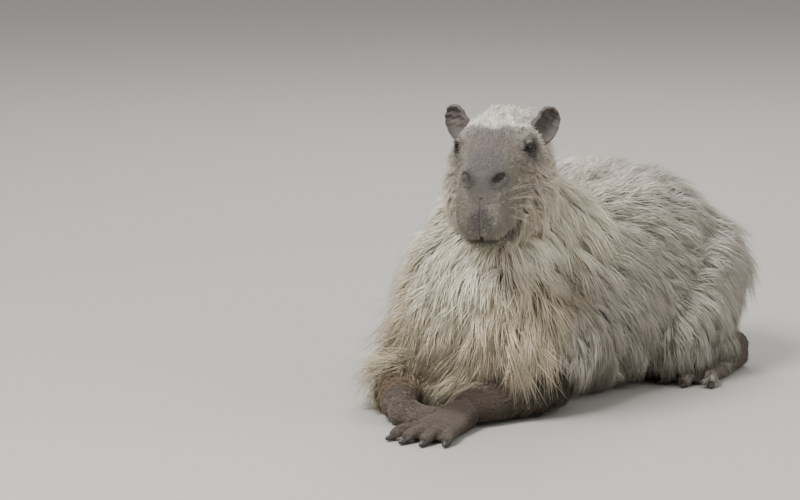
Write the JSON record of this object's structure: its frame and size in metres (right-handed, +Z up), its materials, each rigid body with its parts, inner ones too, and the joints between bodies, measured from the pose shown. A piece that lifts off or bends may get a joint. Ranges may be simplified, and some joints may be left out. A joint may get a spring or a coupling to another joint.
{
  "type": "capybara",
  "caption": "Life-size adult capybara lying on its chest with head raised, long pale bristly coat, webbed feet with blunt claws, still model.",
  "frame": {"origin": "on the floor under the middle of the body", "axes": "+Z up, the animal looks towards -Y with its head turned a little to its left, and its left side is +X"},
  "size_m": [0.4892, 1.0226, 0.4964],
  "materials": {
    "long_coat": "long, coarse, pale grey and cream hair",
    "face_hair": "short grey-brown hair, cream on the crown",
    "leg_hair": "short brown hair",
    "ear_skin": "dark, thinly haired skin",
    "foot_skin": "dark grey-brown leathery skin",
    "eye": "wet and glossy",
    "claw": "satin horn"
  },
  "bodies": {
    "root": {"ear_left": "ear_skin", "ear_right": "ear_skin", "eye_left": "eye", "eye_right": "eye", "foreclaw_left_1": "claw", "foreclaw_left_2": "claw", "foreclaw_left_3": "claw", "foreclaw_left_4": "claw", "foreclaw_right_1": "claw", "foreclaw_right_2": "claw", "foreclaw_right_3": "claw", "foreclaw_right_4": "claw", "forefoot_left": "foot_skin", "forefoot_right": "foot_skin", "foreleg_left": "leg_hair", "foreleg_right": "leg_hair", "head": "face_hair", "hindclaw_left_1": "claw", "hindclaw_left_2": "claw", "hindclaw_left_3": "claw", "hindclaw_right_1": "claw", "hindclaw_right_2": "claw", "hindclaw_right_3": "claw", "hindfoot_left": "foot_skin", "hindfoot_right": "foot_skin", "hindleg_left": "long_coat", "hindleg_right": "long_coat", "neck": "long_coat", "torso": "long_coat"}
  },
  "joints": []
}
